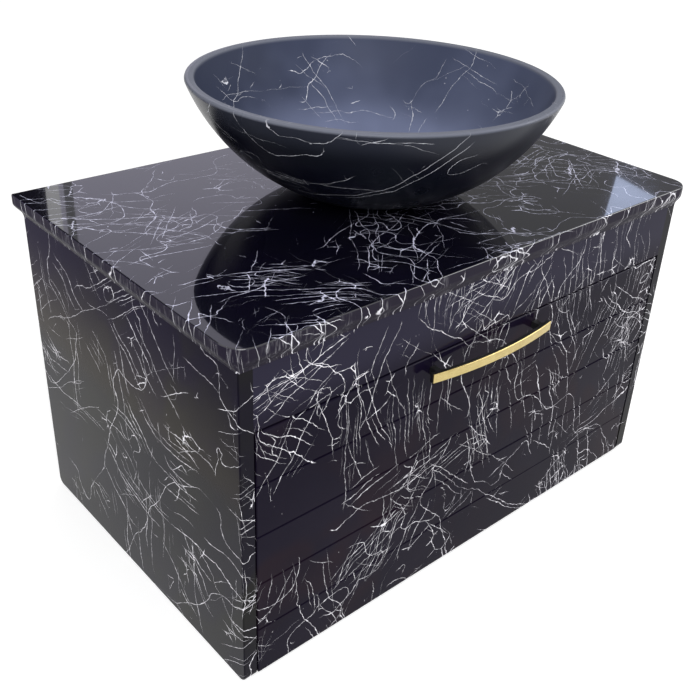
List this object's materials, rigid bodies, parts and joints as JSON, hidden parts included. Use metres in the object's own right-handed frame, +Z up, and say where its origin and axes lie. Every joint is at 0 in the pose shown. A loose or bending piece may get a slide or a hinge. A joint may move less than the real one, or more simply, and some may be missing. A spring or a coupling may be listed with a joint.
{
  "type": "vanity unit",
  "caption": "Wall-hung bathroom cabinet with one deep drawer, a coved counter and a round vessel basin, in black marble-effect film.",
  "frame": {"origin": "centre of the unit's box in plan, on the plane of the side panels' lower edges", "axes": "+X to the right across the front, +Y back towards the wall, +Z up"},
  "size_m": [0.67, 0.434, 0.525],
  "materials": {
    "marble_film": "MDF wrapped in glossy black marble-effect film",
    "cabinet_board": "satin black film",
    "drawer_board": "matt grey film",
    "beech": "bare beech",
    "basin_glaze": "satin black glaze with a marble figure",
    "chromed_brass": "polished chrome",
    "seal_rubber": "matt",
    "zinc_steel": "zinc plated",
    "screw_steel": "zinc plated",
    "handle_black": "satin black",
    "handle_brass": "brushed"
  },
  "bodies": {
    "carcass": {"side_panel_left": "marble_film", "side_panel_right": "marble_film", "floor_panel": "cabinet_board", "fascia_rail": "marble_film", "front_stretcher": "cabinet_board", "rear_stretcher": "cabinet_board", "back_rail_upper": "cabinet_board", "back_rail_lower": "cabinet_board", "carcass_dowels": "beech", "countertop": "marble_film", "counter_screws": "screw_steel", "basin_bowl": "basin_glaze", "basin_seal": "seal_rubber", "flange_seal": "seal_rubber", "waste_body": "chromed_brass", "waste_washer": "seal_rubber", "waste_backnut": "chromed_brass", "bumper_pads": "seal_rubber", "runner_left_outer": "zinc_steel", "runner_right_outer": "zinc_steel", "runner_cabinet_screws": "screw_steel"},
    "drawer": {"drawer_front": "marble_film", "drawer_inner_front": "drawer_board", "drawer_side_left": "drawer_board", "drawer_side_right": "drawer_board", "drawer_back_left": "drawer_board", "drawer_back_right": "drawer_board", "pipe_bay_left": "drawer_board", "pipe_bay_right": "drawer_board", "pipe_bay_front": "drawer_board", "drawer_base": "drawer_board", "drawer_front_screws": "screw_steel", "drawer_box_screws": "screw_steel", "handle_bow": "handle_black", "handle_face": "handle_brass", "handle_screws": "screw_steel", "runner_left_inner": "zinc_steel", "runner_right_inner": "zinc_steel", "runner_drawer_screws": "screw_steel"},
    "runner_left_middle": {"runner_left_middle": "zinc_steel"},
    "ball_cage_left_outer": {"ball_cage_left_outer": "zinc_steel"},
    "ball_cage_left_inner": {"ball_cage_left_inner": "zinc_steel"},
    "runner_right_middle": {"runner_right_middle": "zinc_steel"},
    "ball_cage_right_outer": {"ball_cage_right_outer": "zinc_steel"},
    "ball_cage_right_inner": {"ball_cage_right_inner": "zinc_steel"},
    "waste_plug": {"waste_plug": "chromed_brass"}
  },
  "joints": [
    {"name": "drawer_slide", "type": "slide", "parent": "carcass", "child": "drawer", "axis": [0, -1, 0], "range_m": [0, 0.33]},
    {"name": "runner_left_middle_slide", "type": "slide", "parent": "carcass", "child": "runner_left_middle", "axis": [0, -1, 0], "range_m": [0, 0.165]},
    {"name": "ball_cage_left_outer_slide", "type": "slide", "parent": "carcass", "child": "ball_cage_left_outer", "axis": [0, -1, 0], "range_m": [0, 0.0825]},
    {"name": "ball_cage_left_inner_slide", "type": "slide", "parent": "carcass", "child": "ball_cage_left_inner", "axis": [0, -1, 0], "range_m": [0, 0.2475]},
    {"name": "runner_right_middle_slide", "type": "slide", "parent": "carcass", "child": "runner_right_middle", "axis": [0, -1, 0], "range_m": [0, 0.165]},
    {"name": "ball_cage_right_outer_slide", "type": "slide", "parent": "carcass", "child": "ball_cage_right_outer", "axis": [0, -1, 0], "range_m": [0, 0.0825]},
    {"name": "ball_cage_right_inner_slide", "type": "slide", "parent": "carcass", "child": "ball_cage_right_inner", "axis": [0, -1, 0], "range_m": [0, 0.2475]},
    {"name": "waste_plug_lift", "type": "slide", "parent": "carcass", "child": "waste_plug", "axis": [0, 0, 1], "range_m": [0, 0.009]}
  ],
  "couplings": [
    {"joint": "runner_left_middle_slide", "follows": "drawer_slide", "ratio": 0.5},
    {"joint": "ball_cage_left_outer_slide", "follows": "drawer_slide", "ratio": 0.25},
    {"joint": "ball_cage_left_inner_slide", "follows": "drawer_slide", "ratio": 0.75},
    {"joint": "runner_right_middle_slide", "follows": "drawer_slide", "ratio": 0.5},
    {"joint": "ball_cage_right_outer_slide", "follows": "drawer_slide", "ratio": 0.25},
    {"joint": "ball_cage_right_inner_slide", "follows": "drawer_slide", "ratio": 0.75}
  ]
}
